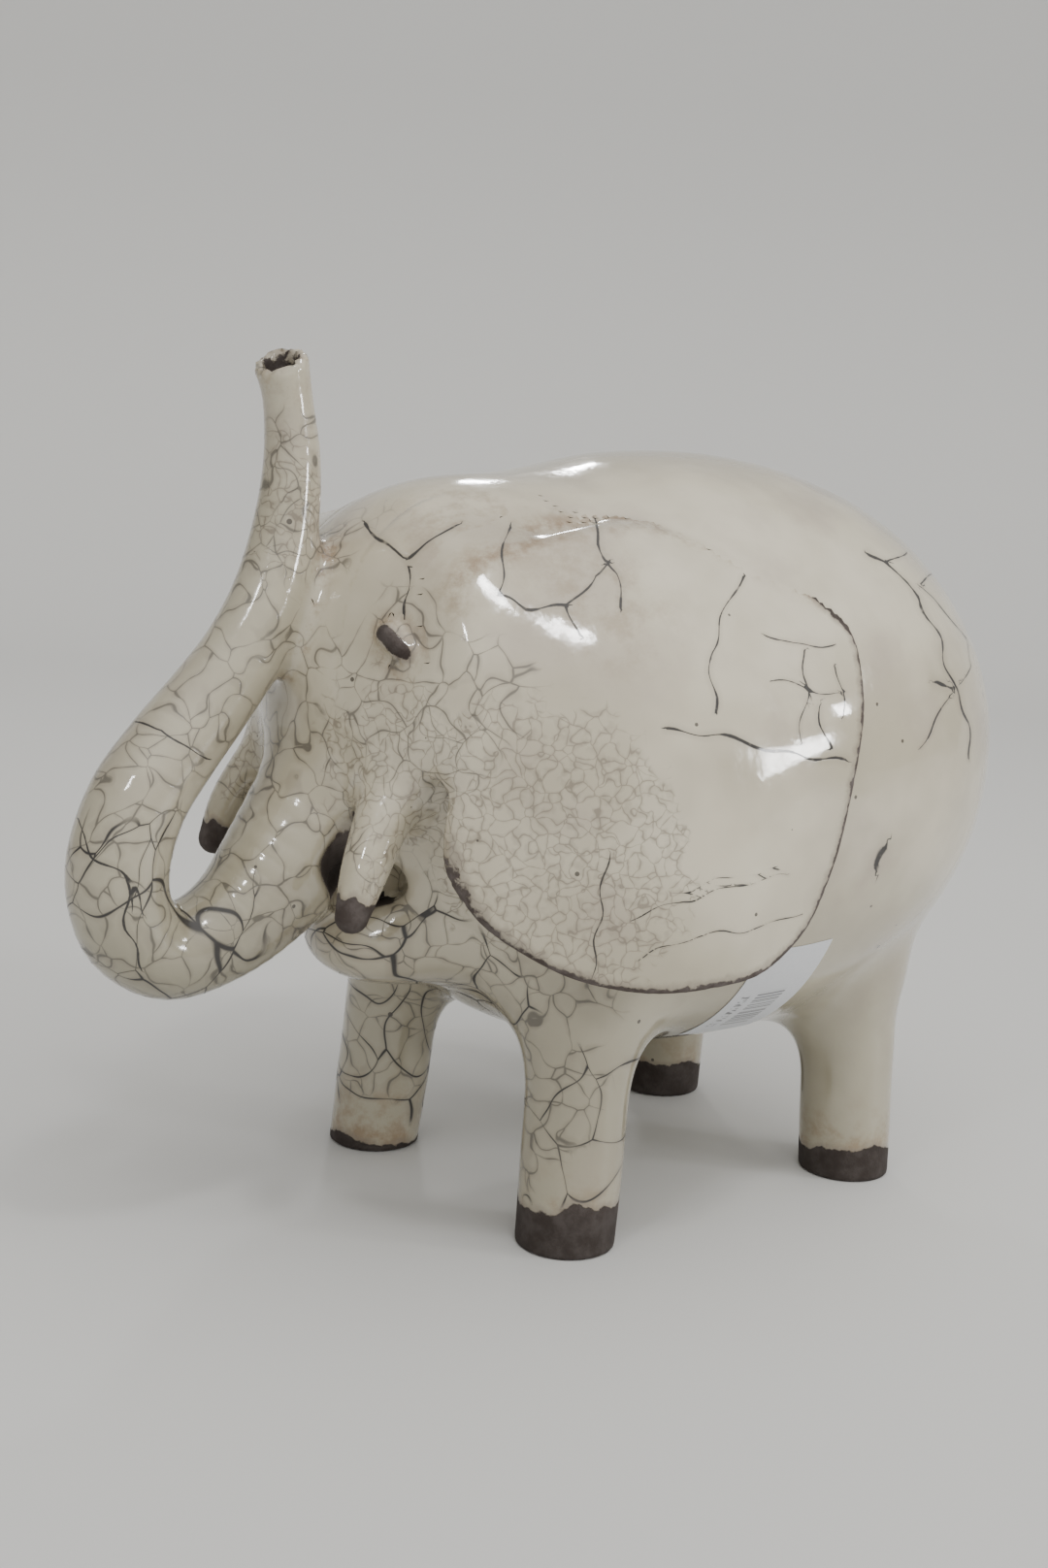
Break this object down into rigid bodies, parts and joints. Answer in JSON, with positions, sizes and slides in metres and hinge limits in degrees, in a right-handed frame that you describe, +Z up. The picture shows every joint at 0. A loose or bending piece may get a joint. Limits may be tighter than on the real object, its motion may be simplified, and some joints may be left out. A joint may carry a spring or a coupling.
{
  "type": "elephant figurine",
  "caption": "Hollow hand-built ceramic elephant with a raised curling trunk, broad ears and a crackled cream glaze",
  "frame": {"origin": "on the table plane, under the middle of the whole elephant", "axes": "+X forward towards the trunk, +Y the animal's left, +Z up from the table"},
  "size_m": [0.2938, 0.1846, 0.2345],
  "materials": {
    "crackle_glaze": "glossy",
    "smoked_clay": "matte",
    "label_paper": "matte"
  },
  "bodies": {
    "root": {"body_shell": "crackle_glaze", "head_shell": "crackle_glaze", "lower_jaw": "crackle_glaze", "trunk": "crackle_glaze", "left_ear": "crackle_glaze", "right_ear": "crackle_glaze", "left_tusk": "crackle_glaze", "right_tusk": "crackle_glaze", "left_eye": "smoked_clay", "right_eye": "smoked_clay", "front_left_leg": "crackle_glaze", "front_right_leg": "crackle_glaze", "rear_left_leg": "crackle_glaze", "rear_right_leg": "crackle_glaze", "tail": "crackle_glaze", "price_label": "label_paper"}
  },
  "joints": []
}
